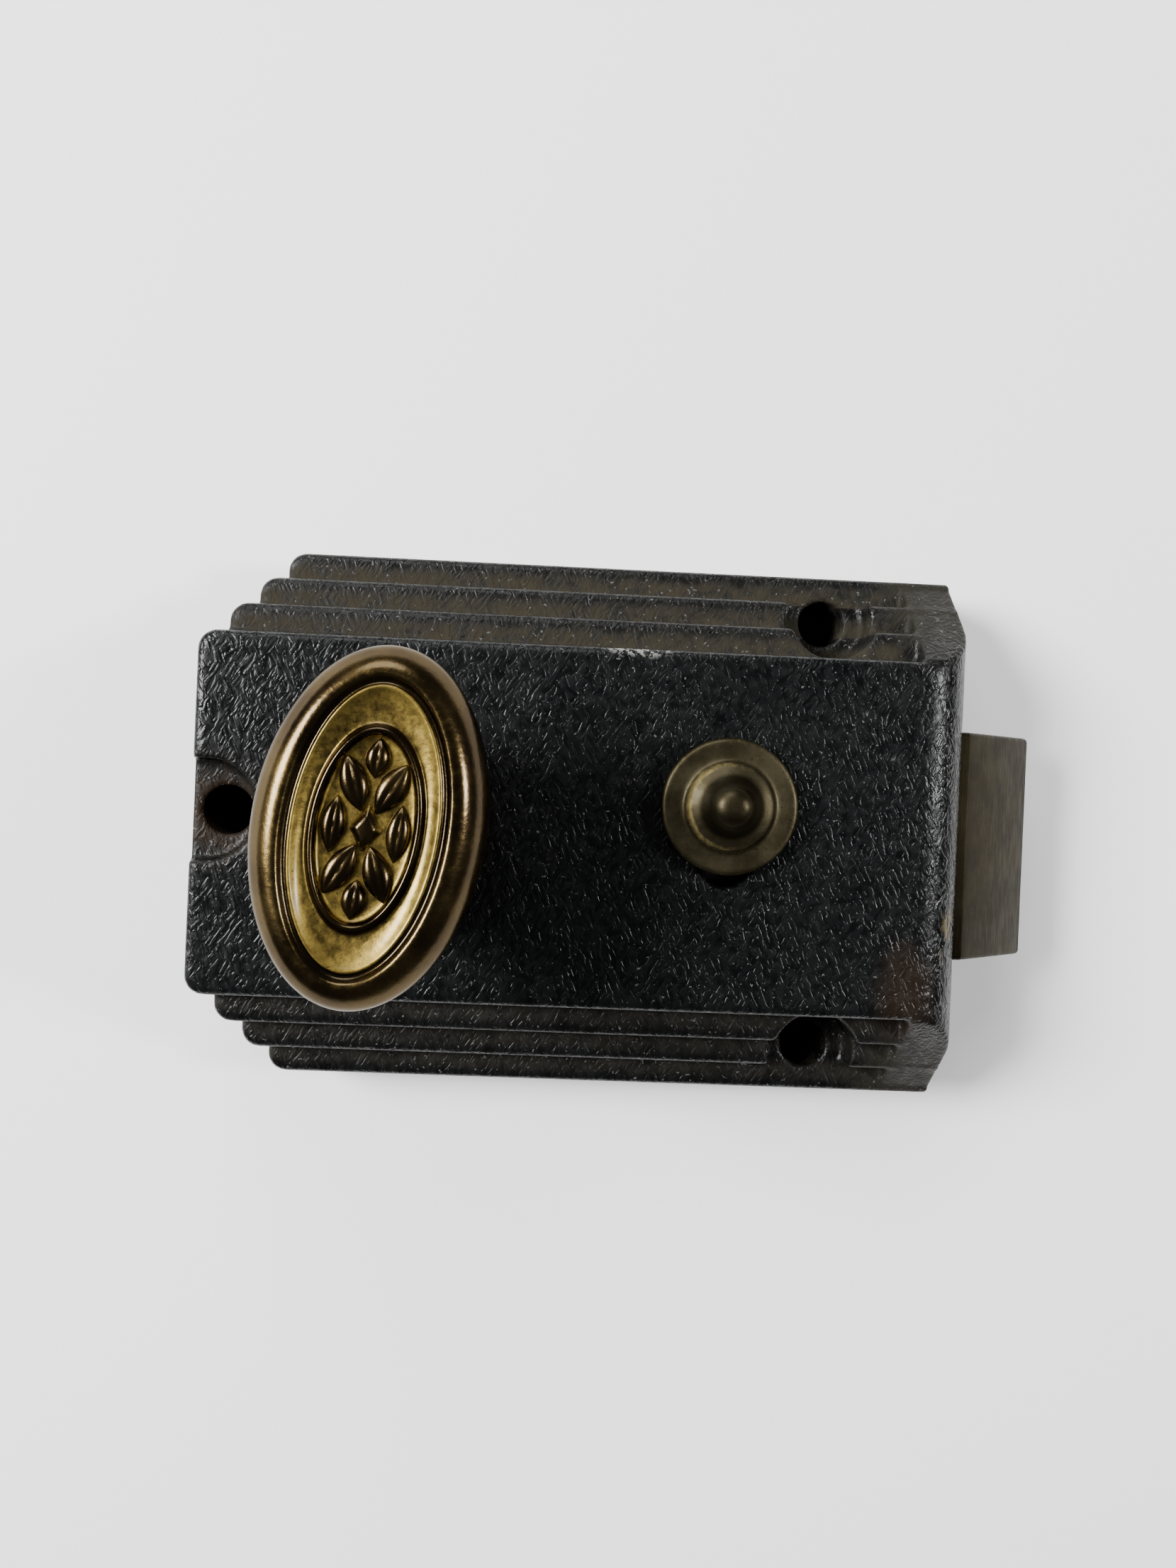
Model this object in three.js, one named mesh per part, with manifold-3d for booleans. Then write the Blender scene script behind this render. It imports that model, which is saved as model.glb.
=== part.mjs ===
// Rim night latch: a cast case with stepped long sides, a bevelled spring bolt, an oval knob
// that draws the bolt back through a cam, and a sliding stop button that locks the bolt.
//
// Millimetres. The lock lies on its back: z = 0 is the face that is screwed to the door,
// +Z points into the room, +X is the way the bolt shoots, and the origin is the middle of
// the case's back. The rest pose is bolt out, knob upright and stop button up.

import * as THREE from 'three';
import { mergeVertices } from 'three/addons/utils/BufferGeometryUtils.js';
import Module from 'manifold-3d';

const wasm = await Module();
wasm.setup();

// ---------------------------------------------------------------- driving dimensions

const GAP = 0.15;                 // running clearance between neighbours
const CASE_LENGTH = 88.9;
const CASE_WIDTH = 63.5;
const CASE_DEPTH = 22.2;
const STEP_DROP = 3.85;           // height of each of the three steps on a long side
const STEP_TREAD = 3.7;           // depth of each step across the case
const STEP_SETBACK = 2.4;         // each lower step starts this much nearer the bolt
const CORNER_RADIUS = 2.2;        // plan corners at the knob end
const EDGE_ROUND = 0.9;           // rounding along the edge of each step
const NOSE_RADIUS = 6;            // rounding of the face into the bolt end
const CHEEK_LENGTH = 6;           // plain sloping shoulder beside the nose

const WALL = 2.4;                 // thickness of the face
const CAVITY_LEFT = -35;
const CAVITY_RIGHT = 41.9;
const CAVITY_HALF_WIDTH = 18.3;

const PLATE_THICKNESS = 1.6;      // steel cover let into the back
const PLATE_LEFT = -36.6;
const PLATE_WAIST = 22;           // the cover is narrower beyond this, clear of the screws
const PLATE_HALF_WIDTH = 24.3;
const PLATE_HALF_NARROW = 19.8;
const TAILPIECE_HOLE_RADIUS = 8.5;

const SCREW_HOLE_RADIUS = 2.8;
const SIDE_SCREW = { x: 28.5, y: 26 };
const SPOTFACE_RADIUS = 5.2;
const END_SCREW = { x: -40.4, y: 0.3 };
const END_RECESS = { x: -42.7, radius: 5.75, depth: 1.5 };

const KNOB_X = -20.9;
const KNOB_LEAN = -7.5;           // degrees off upright, the slack in the cam
const KNOB_BASE = 24;
const KNOB_BORE_TOP = 38;
const SPINDLE_RADIUS = 4;
const SPINDLE_BOTTOM = 6;
const SPINDLE_HOLE_RADIUS = 5;

const BOLT_TRAVEL = 10.6;
const BOLT_WIDTH = 27;
const BOLT_Y = -0.5;
const BOLT_BOTTOM = 7.5;
const BOLT_TOP = 17.9;
const BOLT_REAR = 29;
const BOLT_TIP = 55.2;
const BEVEL_START = 45.2;
const TIP_HEIGHT = 2.6;

const TAIL_BOTTOM = 8;
const TAIL_THICKNESS = 2.4;
const TAIL_LEFT = -23;
const TAIL_RIGHT = 36.8;
const TAIL_TOP = TAIL_BOTTOM + TAIL_THICKNESS;

// The cam's stud swings evenly to both sides of straight across, so its reach is the travel.
const CAM_REACH = BOLT_TRAVEL;
const CAM_SWING = 60;
const CAM_STUD_RADIUS = 2.2;
const CAM_BOTTOM = 11.2;
const CAM_TOP = 14.6;

const STOP_X = 16.1;
const STOP_TRAVEL = 6.2;
const STOP_Y = STOP_TRAVEL / 2;
const STOP_STEM_RADIUS = 2.8;
const STOP_SLOT_WIDTH = 6.1;
const LUG_HALF = 1.5;
const LUG_ROOM = 2;               // half the width of the tracks that the lug runs in

const SPRING_Y = -14.6;
const SPRING_Z = 13.6;
const SPRING_RADIUS = 2.9;
const ROD_RADIUS = 1.2;
const BRACKET_X = -8;
const GUIDE = { x: 0, y: -8, radius: 3, neck: 2 };

const CEILING = CASE_DEPTH - WALL;
const HALF_LENGTH = CASE_LENGTH / 2;
const HALF_WIDTH = CASE_WIDTH / 2;
const FACE_HALF = HALF_WIDTH - 3 * STEP_TREAD;
const LOWEST_TREAD = CASE_DEPTH - 3 * STEP_DROP;

// ---------------------------------------------------------------- solids, joined and cut

function solid(geometry) {
  const bare = geometry.index ? geometry.clone() : geometry;
  bare.deleteAttribute('normal');
  bare.deleteAttribute('uv');
  const merged = mergeVertices(bare, 1e-5);
  const mesh = new wasm.Mesh({
    numProp: 3,
    vertProperties: new Float32Array(merged.attributes.position.array),
    triVerts: new Uint32Array(merged.index.array),
  });
  return new wasm.Manifold(mesh);
}

function geometryOf(body) {
  const mesh = body.getMesh();
  const geometry = new THREE.BufferGeometry();
  geometry.setAttribute('position', new THREE.BufferAttribute(mesh.vertProperties, 3));
  geometry.setIndex(new THREE.BufferAttribute(mesh.triVerts, 1));
  return geometry;
}

const join = (...bodies) => bodies.reduce((whole, body) => whole.add(body));
const cut = (body, ...tools) => tools.reduce((rest, tool) => rest.subtract(tool), body);

function box(low, high) {
  const size = high.map((value, i) => value - low[i]);
  const geometry = new THREE.BoxGeometry(...size);
  geometry.translate(...low.map((value, i) => value + size[i] / 2));
  return solid(geometry);
}

function rod(radius, z0, z1, x = 0, y = 0, sides = 32) {
  const geometry = new THREE.CylinderGeometry(radius, radius, z1 - z0, sides);
  geometry.rotateX(Math.PI / 2);
  geometry.translate(x, y, (z0 + z1) / 2);
  return solid(geometry);
}

function rodAlongX(radius, x0, x1, y, z, sides = 20) {
  const geometry = new THREE.CylinderGeometry(radius, radius, x1 - x0, sides);
  geometry.rotateZ(Math.PI / 2);
  geometry.translate((x0 + x1) / 2, y, z);
  return solid(geometry);
}

function ring(outer, inner, z0, z1, x = 0, y = 0) {
  return cut(rod(outer, z0, z1, x, y), rod(inner, z0 - 1, z1 + 1, x, y));
}

function turned(profile, segments = 40) {
  const points = profile.map(([radius, z]) => new THREE.Vector2(radius, z));
  const geometry = new THREE.LatheGeometry(points, segments);
  geometry.rotateX(Math.PI / 2);
  return geometry;
}

// A plan outline raised from z0 to z1. Its top edge can be rounded.
function raised(shape, z0, z1, round = 0) {
  const geometry = new THREE.ExtrudeGeometry(shape, {
    depth: z1 - z0 - round,
    bevelEnabled: round > 0,
    bevelThickness: round,
    bevelSize: round,
    bevelOffset: -round,
    bevelSegments: 3,
    curveSegments: 6,
  });
  geometry.translate(0, 0, z0);
  return solid(geometry);
}

// Corners run anticlockwise from the low left one, each with its own radius, or square.
function rectangle(x0, y0, x1, y1, radii = [0, 0, 0, 0]) {
  const corners = [[x0, y0, 1, 1], [x1, y0, -1, 1], [x1, y1, -1, -1], [x0, y1, 1, -1]];
  const shape = new THREE.Shape();
  corners.forEach(([x, y, inX, inY], i) => {
    const radius = radii[i];
    if (radius === 0) {
      shape[i === 0 ? 'moveTo' : 'lineTo'](x, y);
      return;
    }
    const start = Math.PI + i * Math.PI / 2;
    const [cx, cy] = [x + inX * radius, y + inY * radius];
    if (i === 0) shape.moveTo(cx + radius * Math.cos(start), cy + radius * Math.sin(start));
    shape.absarc(cx, cy, radius, start, start + Math.PI / 2);
  });
  shape.closePath();
  return shape;
}

// A round-ended slot along Y, from the centre of one end to the centre of the other.
function slotAlongY(x, y0, y1, radius, z0, z1) {
  return join(
    rod(radius, z0, z1, x, y0),
    rod(radius, z0, z1, x, y1),
    box([x - radius, y0, z0], [x + radius, y1, z1]),
  );
}

// An outline in the XZ plane carried along Y from y0 to y1.
function carriedAlongY(points, y0, y1, round = 0) {
  const shape = new THREE.Shape(points.map(([x, z]) => new THREE.Vector2(x, z)));
  const geometry = new THREE.ExtrudeGeometry(shape, {
    depth: y1 - y0 - 2 * round,
    bevelEnabled: round > 0,
    bevelThickness: round,
    bevelSize: round,
    bevelOffset: -round,
    bevelSegments: 2,
  });
  geometry.rotateX(Math.PI / 2);
  geometry.translate(0, y1 - round, 0);
  return solid(geometry);
}

// ---------------------------------------------------------------- finishes

const finish = (color, roughness, metalness) =>
  new THREE.MeshStandardMaterial({ color, roughness, metalness });
const FINISHES = {
  wrinkle: finish(0x2b2c2b, 0.55, 0.2),
  brass: finish(0x9c7f3f, 0.38, 1),
  worn_brass: finish(0x6f5f49, 0.5, 1),
  steel: finish(0x8d9092, 0.42, 1),
  spring_steel: finish(0x5e6164, 0.4, 1),
};

const latch = new THREE.Group();

function add(name, body, finishName, parent = latch) {
  const geometry = body instanceof THREE.BufferGeometry ? body : geometryOf(body);
  const mesh = new THREE.Mesh(geometry, FINISHES[finishName]);
  mesh.name = name;
  parent.add(mesh);
  return mesh;
}

// ---------------------------------------------------------------- case

function steppedBlock() {
  const slabs = [0, 1, 2, 3].map((step) => {
    const half = FACE_HALF + step * STEP_TREAD;
    const left = -HALF_LENGTH + step * STEP_SETBACK;
    const corners = [CORNER_RADIUS, 0, 0, CORNER_RADIUS];
    const outline = rectangle(left, -half, HALF_LENGTH + 2, half, corners);
    return raised(outline, -2, CASE_DEPTH - step * STEP_DROP, EDGE_ROUND);
  });
  return join(...slabs);
}

// The shoulder beside the nose slopes straight from the face's edge to the lowest tread.
function cheeks() {
  const outline = new THREE.Shape([
    new THREE.Vector2(-HALF_WIDTH, -2),
    new THREE.Vector2(HALF_WIDTH, -2),
    new THREE.Vector2(HALF_WIDTH, LOWEST_TREAD - EDGE_ROUND),
    new THREE.Vector2(HALF_WIDTH - EDGE_ROUND, LOWEST_TREAD),
    new THREE.Vector2(FACE_HALF, CASE_DEPTH - 0.3),
    new THREE.Vector2(-FACE_HALF, CASE_DEPTH - 0.3),
    new THREE.Vector2(-HALF_WIDTH + EDGE_ROUND, LOWEST_TREAD),
    new THREE.Vector2(-HALF_WIDTH, LOWEST_TREAD - EDGE_ROUND),
  ]);
  const geometry = new THREE.ExtrudeGeometry(outline, { depth: CHEEK_LENGTH, bevelEnabled: false });
  geometry.rotateX(Math.PI / 2);
  geometry.rotateZ(Math.PI / 2);
  geometry.translate(HALF_LENGTH - CHEEK_LENGTH, 0, 0);
  return solid(geometry);
}

// Everything outside this side view is trimmed off: the flat back and the rounded nose.
function noseEnvelope() {
  const shape = new THREE.Shape();
  shape.moveTo(-HALF_LENGTH - 5, 0);
  shape.lineTo(HALF_LENGTH, 0);
  shape.lineTo(HALF_LENGTH, CASE_DEPTH - NOSE_RADIUS);
  shape.absarc(HALF_LENGTH - NOSE_RADIUS, CASE_DEPTH - NOSE_RADIUS, NOSE_RADIUS, 0, Math.PI / 2);
  shape.lineTo(-HALF_LENGTH - 5, CASE_DEPTH);
  const geometry = new THREE.ExtrudeGeometry(shape, {
    depth: CASE_WIDTH + 4,
    bevelEnabled: false,
    curveSegments: 8,
  });
  geometry.rotateX(Math.PI / 2);
  geometry.translate(0, HALF_WIDTH + 2, 0);
  return solid(geometry);
}

function plateOutline(margin) {
  const wide = PLATE_HALF_WIDTH + margin;
  const narrow = PLATE_HALF_NARROW + margin;
  const left = PLATE_LEFT - margin;
  const right = CAVITY_RIGHT - GAP + margin;
  const waist = PLATE_WAIST + margin;
  return new THREE.Shape([
    [left, -wide + 2], [left + 2, -wide], [waist, -wide], [waist + 2, -narrow], [right, -narrow],
    [right, narrow], [waist + 2, narrow], [waist, wide], [left + 2, wide], [left, wide - 2],
  ].map(([x, y]) => new THREE.Vector2(x, y)));
}

const PLATE_SCREWS = [-1, 1].flatMap((side) => [-30, 14].map((x) => ({ x, y: side * 21.4 })));
const PLATE_SCREW = { radius: 1.4, head: 2.4, top: 6.5 };

function caseBody() {
  const outer = join(steppedBlock(), cheeks()).intersect(noseEnvelope());
  const cavity = box(
    [CAVITY_LEFT, -CAVITY_HALF_WIDTH, -1],
    [CAVITY_RIGHT, CAVITY_HALF_WIDTH, CEILING],
  );
  const boltMouth = box(
    [CAVITY_RIGHT - 1, BOLT_Y - BOLT_WIDTH / 2 - 0.4, BOLT_BOTTOM - 0.4],
    [HALF_LENGTH + 3, BOLT_Y + BOLT_WIDTH / 2 + 0.4, BOLT_TOP + 0.4],
  );
  const sideHoles = [-1, 1].flatMap((side) => [
    rod(SCREW_HOLE_RADIUS, -1, CASE_DEPTH, SIDE_SCREW.x, side * SIDE_SCREW.y),
    rod(SPOTFACE_RADIUS, LOWEST_TREAD, CASE_DEPTH + 1, SIDE_SCREW.x, side * SIDE_SCREW.y),
  ]);
  const recessFloor = CASE_DEPTH - END_RECESS.depth;
  const endRecess = join(
    rod(END_RECESS.radius, recessFloor, CASE_DEPTH + 1, END_RECESS.x, END_SCREW.y),
    box(
      [-HALF_LENGTH - 2, END_SCREW.y - END_RECESS.radius, recessFloor],
      [END_RECESS.x, END_SCREW.y + END_RECESS.radius, CASE_DEPTH + 1],
    ),
  );
  return cut(
    outer,
    cavity,
    raised(plateOutline(GAP), -1, PLATE_THICKNESS + GAP),
    boltMouth,
    ...sideHoles,
    rod(SCREW_HOLE_RADIUS, -1, CASE_DEPTH, END_SCREW.x, END_SCREW.y),
    endRecess,
    rod(SPINDLE_HOLE_RADIUS, CEILING - 1, CASE_DEPTH + 1, KNOB_X, 0),
    slotAlongY(STOP_X, -STOP_Y, STOP_Y, STOP_SLOT_WIDTH / 2, CEILING - 1, CASE_DEPTH + 1),
    ...PLATE_SCREWS.map(({ x, y }) => rod(PLATE_SCREW.radius + GAP, 0, PLATE_SCREW.top + 0.3, x, y, 16)),
    rod(GUIDE.neck, CEILING - 1, CEILING + 1.3, GUIDE.x, GUIDE.y, 20),
    rod(1.4, CEILING - 1, CEILING + 1.3, BRACKET_SCREW.x, BRACKET_SCREW.y, 16),
    rod(1.4, CEILING - 1, CEILING + 1.3, LEAF.x, LEAF.screwY, 16),
  );
}

function backPlate() {
  const holes = PLATE_SCREWS.flatMap(({ x, y }) => [
    rod(PLATE_SCREW.radius + GAP, -1, 3, x, y, 16),
    solid(new THREE.CylinderGeometry(1.5, PLATE_SCREW.head + 0.3, 1.2, 20)
      .rotateX(Math.PI / 2).translate(x, y, 0.55)),
  ]);
  return cut(
    raised(plateOutline(0), 0, PLATE_THICKNESS),
    rod(TAILPIECE_HOLE_RADIUS, -1, 3, KNOB_X, 0, 40),
    ...holes,
  );
}

function plateScrew({ x, y }) {
  const { radius, head, top } = PLATE_SCREW;
  const slot = box([x - head, y - 0.3, -1], [x + head, y + 0.3, 0.45]);
  const body = solid(turned([[0, 0.05], [head, 0.05], [radius, 1.1], [radius, top], [0, top]], 20)
    .translate(x, y, 0));
  return cut(body, slot);
}

// ---------------------------------------------------------------- knob, spindle and cam

// Half-widths across and along the oval at each height, from the round foot to the rim.
const KNOB_SECTIONS = [
  [10.2, 10.2, 24.0], [10.9, 10.9, 24.8], [10.7, 10.9, 27.5], [9.9, 10.9, 31.5], [9.8, 12.0, 35.0],
  [10.4, 14.4, 38.6], [10.9, 16.5, 41.6], [11.1, 17.5, 44.2], [10.8, 17.2, 45.8], [9.9, 16.3, 47.2],
  [8.6, 15.0, 48.0], [7.5, 14.0, 48.1], [7.1, 13.7, 47.6], [6.9, 13.4, 46.9], [5.4, 9.7, 46.9],
  [5.2, 9.5, 47.4], [4.6, 8.9, 47.4], [4.4, 8.7, 46.9],
];

// A turned blank with each ring of points drawn out to its oval.
function ovalKnob() {
  const profile = [[0, KNOB_BASE], ...KNOB_SECTIONS.map(([across, , z]) => [across, z]), [0, 46.9]];
  const geometry = turned(profile, 44);
  const place = geometry.attributes.position;
  const stretch = profile.map((point, i) => {
    const section = KNOB_SECTIONS[i - 1];
    return section ? section[1] / section[0] : 1;
  });
  for (let i = 0; i < place.count; i += 1) {
    place.setY(i, place.getY(i) * stretch[i % profile.length]);
  }
  geometry.rotateZ(THREE.MathUtils.degToRad(KNOB_LEAN));
  return solid(geometry);
}

const KNOB_PIN = { z: 29.5, radius: 1.2 };

function pinAlongY(radius, y0, y1, z, sides = 16) {
  const geometry = new THREE.CylinderGeometry(radius, radius, y1 - y0, sides);
  geometry.translate(0, (y0 + y1) / 2, z);
  return solid(geometry);
}

// These are made about the Z axis and then carried to the knob's place.
function knobBody() {
  return cut(
    ovalKnob(),
    rod(SPINDLE_RADIUS + GAP, KNOB_BASE - 1, KNOB_BORE_TOP, 0, 0),
    pinAlongY(KNOB_PIN.radius + 0.1, -20, 20, KNOB_PIN.z),
  );
}

const CLIP = { z0: 18.3, z1: 19.3, inner: 3.2, outer: 6.4 };

function spindleBody() {
  const groove = ring(SPINDLE_RADIUS + 1, CLIP.inner - 0.1, CLIP.z0 - 0.1, CLIP.z1 + 0.1);
  const keyway = box([-SPINDLE_RADIUS - 1, -1.3, SPINDLE_BOTTOM - 1], [SPINDLE_RADIUS + 1, 1.3, 10.8]);
  return cut(
    rod(SPINDLE_RADIUS, SPINDLE_BOTTOM, KNOB_BORE_TOP - 0.3),
    groove,
    keyway,
    pinAlongY(KNOB_PIN.radius + 0.1, -20, 20, KNOB_PIN.z),
    pinAlongY(CAM_PIN.radius + 0.1, -20, 20, CAM_PIN.z),
  );
}

function clipBody() {
  return cut(
    ring(CLIP.outer, CLIP.inner + 0.05, CLIP.z0, CLIP.z1),
    box([-1.6, 0, CLIP.z0 - 1], [1.6, CLIP.outer + 1, CLIP.z1 + 1]),
  );
}

const CAM_PIN = { z: 12.9, radius: 0.9 };

function camBody() {
  const start = THREE.MathUtils.degToRad(90 - CAM_SWING / 2);
  const tip = [CAM_REACH * Math.cos(start), CAM_REACH * Math.sin(start)];
  const arm = new THREE.BoxGeometry(CAM_REACH, 2 * CAM_STUD_RADIUS, CAM_TOP - CAM_BOTTOM);
  arm.translate(CAM_REACH / 2, 0, (CAM_TOP + CAM_BOTTOM) / 2);
  arm.rotateZ(start);
  const blank = join(
    rod(6.6, CAM_BOTTOM, CAM_TOP),
    solid(arm),
    rod(CAM_STUD_RADIUS, TAIL_BOTTOM - 0.4, CAM_TOP, ...tip, 24),
  );
  return cut(
    blank,
    rod(SPINDLE_RADIUS + 0.1, CAM_BOTTOM - 1, CAM_TOP + 1),
    pinAlongY(CAM_PIN.radius + 0.1, -20, 0, CAM_PIN.z),
    pinAlongY(CAM_PIN.radius + 0.1, -1, 5.6, CAM_PIN.z),
  );
}

// ---------------------------------------------------------------- bolt, tail and spring

const RIVETS = [-7.5, 6.5].map((y) => ({ x: 33, y }));

function boltBody() {
  const outline = [
    [BOLT_REAR, BOLT_BOTTOM], [BOLT_TIP, BOLT_BOTTOM], [BOLT_TIP, BOLT_BOTTOM + TIP_HEIGHT],
    [BEVEL_START, BOLT_TOP], [BOLT_REAR, BOLT_TOP],
  ];
  const half = BOLT_WIDTH / 2;
  return cut(
    carriedAlongY(outline, BOLT_Y - half, BOLT_Y + half, 0.5),
    box([BOLT_REAR - 1, -20, BOLT_BOTTOM - 1], [TAIL_RIGHT + GAP, 20, TAIL_TOP + GAP]),
    ...RIVETS.map(({ x, y }) => rod(1.6, TAIL_TOP - 1, 15.2, x, y, 20)),
  );
}

function boltTail() {
  const slotEnd = STOP_X + BOLT_TRAVEL;
  const pocketBottom = STOP_Y - STOP_TRAVEL - LUG_ROOM;
  const start = THREE.MathUtils.degToRad(90 - CAM_SWING / 2);
  const pinX = KNOB_X + CAM_REACH * Math.cos(start);
  const low = TAIL_BOTTOM - 1;
  const high = TAIL_TOP + 1;
  const track = (x0, y0, x1, y1) => box([x0, y0, low], [x1, y1, high]);
  const room = SPINDLE_RADIUS + 0.5;
  const plate = join(
    box([-4, -12.6, TAIL_BOTTOM], [TAIL_RIGHT, 12.2, TAIL_TOP]),
    box([TAIL_LEFT, -8.5, TAIL_BOTTOM], [-3, 16, TAIL_TOP]),
  );
  return cut(
    plate,
    track(TAIL_LEFT - 1, -room, KNOB_X + BOLT_TRAVEL + room, room),
    track(pinX - 2.6, 6.4, pinX + 2.6, 13.2),
    track(STOP_X - LUG_ROOM, STOP_Y - LUG_ROOM, slotEnd + LUG_ROOM, STOP_Y + LUG_ROOM),
    track(STOP_X - LUG_ROOM, pocketBottom, STOP_X + LUG_ROOM, STOP_Y),
    track(slotEnd - LUG_ROOM, pocketBottom, slotEnd + LUG_ROOM, STOP_Y),
    track(GUIDE.x - GUIDE.neck - 0.3, GUIDE.y - GUIDE.neck - 0.2,
      GUIDE.x + BOLT_TRAVEL + GUIDE.neck + 0.3, GUIDE.y + GUIDE.neck + 0.2),
    ...RIVETS.map(({ x, y }) => rod(1.6, low, high, x, y, 20)),
  );
}

function rivet({ x, y }) {
  const profile = [[0, 7.0], [1.9, 7.1], [2.5, 7.85], [1.5, 7.85], [1.5, 15], [0, 15]];
  return solid(turned(profile, 20).translate(x, y, 0));
}

function springRod() {
  return join(
    rodAlongX(ROD_RADIUS, BRACKET_X - 4, BOLT_REAR - 0.2, SPRING_Y, SPRING_Z),
    rodAlongX(SPRING_RADIUS, BOLT_REAR - 1.2, BOLT_REAR - 0.2, SPRING_Y, SPRING_Z),
  );
}

// The coil is one tube here, as wide as its turns.
function springBody() {
  const x0 = BRACKET_X + 3.1;
  const x1 = BOLT_REAR - 1.5;
  return cut(
    rodAlongX(SPRING_RADIUS, x0, x1, SPRING_Y, SPRING_Z),
    rodAlongX(ROD_RADIUS + 0.5, x0 - 1, x1 + 1, SPRING_Y, SPRING_Z),
  );
}

const BRACKET_SCREW = { x: BRACKET_X - 4, y: SPRING_Y };

function bracketBody() {
  const { x, y } = BRACKET_SCREW;
  return cut(
    join(
      box([BRACKET_X, y - 3.2, TAIL_TOP + 0.5], [BRACKET_X + 2.8, y + 3.2, CEILING - GAP]),
      box([BRACKET_X - 7.5, y - 3.2, CEILING - 1.8], [BRACKET_X + 1, y + 3.2, CEILING - GAP]),
    ),
    rodAlongX(ROD_RADIUS + 0.3, BRACKET_X - 1, BRACKET_X + 4, SPRING_Y, SPRING_Z),
    rod(1.5, CEILING - 3, CEILING + 1, x, y, 16),
  );
}

// A screw driven upwards into the underside of the face: its head, then its shank.
function ceilingScrew(x, y, headBottom, headTop, headRadius, shank, top) {
  const profile = [[0, headBottom], [headRadius, headBottom], [headRadius, headTop]];
  const body = turned([...profile, [shank, headTop], [shank, top], [0, top]], 20);
  const slot = box([-headRadius, -0.35, headBottom - 1], [headRadius, 0.35, headBottom + 0.5]);
  return cut(solid(body), slot).translate([x, y, 0]);
}

// ---------------------------------------------------------------- guide for the tail

function guidePost() {
  const { x, y, radius, neck } = GUIDE;
  return cut(
    join(
      rod(radius, TAIL_TOP + 0.3, CEILING - GAP, x, y),
      rod(neck - 0.1, CEILING - 1, CEILING + 1.1, x, y, 20),
      rod(neck - 0.1, TAIL_BOTTOM - 0.3, TAIL_TOP + 1, x, y, 20),
    ),
    rod(1.1, TAIL_BOTTOM - 1, TAIL_TOP + 4.2, x, y, 16),
  );
}

// ---------------------------------------------------------------- stop button

const BUTTON = { bottom: 22.8, flange: 7.8, base: 4.9, dome: 2.35, top: 27.9 };

function stopButton() {
  const { bottom, flange, base, dome, top } = BUTTON;
  const plateTop = SLIDE.top;
  return solid(turned([
    [0, SLIDE.bottom - 0.6], [1.5, SLIDE.bottom - 0.6], [1.5, plateTop + 0.15],
    [STOP_STEM_RADIUS, plateTop + 0.15], [STOP_STEM_RADIUS, bottom], [flange - 0.3, bottom],
    [flange, bottom + 0.4], [flange, bottom + 1.1], [flange - 0.5, bottom + 1.5],
    [base + 0.3, bottom + 1.8], [base, bottom + 2.5], [dome + 0.9, bottom + 3.5],
    [dome, bottom + 3.8], [dome * 0.86, top - 0.7], [dome * 0.5, top - 0.2], [0, top],
  ], 40)).translate([STOP_X, STOP_Y, 0]);
}

const SLIDE = { bottom: 18.25, top: 19.5, halfLength: 8.6, halfWidth: 6.4 };

// The tongue drops beside the stem, turns under it and ends as the lug in the tail's track.
function stopSlide() {
  const { bottom, top, halfLength, halfWidth } = SLIDE;
  const plate = rectangle(
    STOP_X - halfWidth, STOP_Y - halfLength, STOP_X + halfWidth, STOP_Y + halfLength,
    [1.5, 1.5, 1.5, 1.5],
  );
  const limb = (y0, y1, z0, z1) => box(
    [STOP_X - LUG_HALF, STOP_Y + y0, z0],
    [STOP_X + LUG_HALF, STOP_Y + y1, z1],
  );
  return cut(
    join(
      raised(plate, bottom, top),
      limb(3.4, 5.2, bottom - 5, bottom + 0.3),
      limb(-LUG_HALF, 5.2, bottom - 5.4, bottom - 3.4),
      limb(-LUG_HALF, LUG_HALF, TAIL_BOTTOM + 0.2, bottom - 3.4),
    ),
    rod(1.6, bottom - 1, top + 1, STOP_X, STOP_Y, 20),
  );
}

// A spring strip that bears on the edge of the slide and holds the button where it is put.
const LEAF = { x: 3.8, strip: 7.2, thickness: 0.5, screwY: 13.6, low: 15.8 };

function leafSpring() {
  const edge = STOP_X - SLIDE.halfWidth - 0.2;
  const curve = new THREE.CatmullRomCurve3([
    new THREE.Vector3(LEAF.strip, 15.6, 0), new THREE.Vector3(LEAF.strip + 0.2, 10, 0),
    new THREE.Vector3(edge - 0.3, 3, 0), new THREE.Vector3(edge - 1.4, -4, 0),
    new THREE.Vector3(LEAF.strip + 0.4, -9, 0),
  ]);
  const middle = curve.getSpacedPoints(16).map((point) => new THREE.Vector2(point.x, point.y));
  const back = middle.map((point) => new THREE.Vector2(point.x - LEAF.thickness, point.y)).reverse();
  const strip = raised(new THREE.Shape([...middle, ...back]), LEAF.low, CEILING - 0.3);
  const ear = box([LEAF.x - 2.4, 10.8, CEILING - 0.3 - LEAF.thickness],
    [LEAF.strip - 0.1, 15.6, CEILING - 0.3]);
  return cut(join(strip, ear), rod(1.5, CEILING - 3, CEILING, LEAF.x, LEAF.screwY, 16));
}

// ---------------------------------------------------------------- assembly

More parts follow.
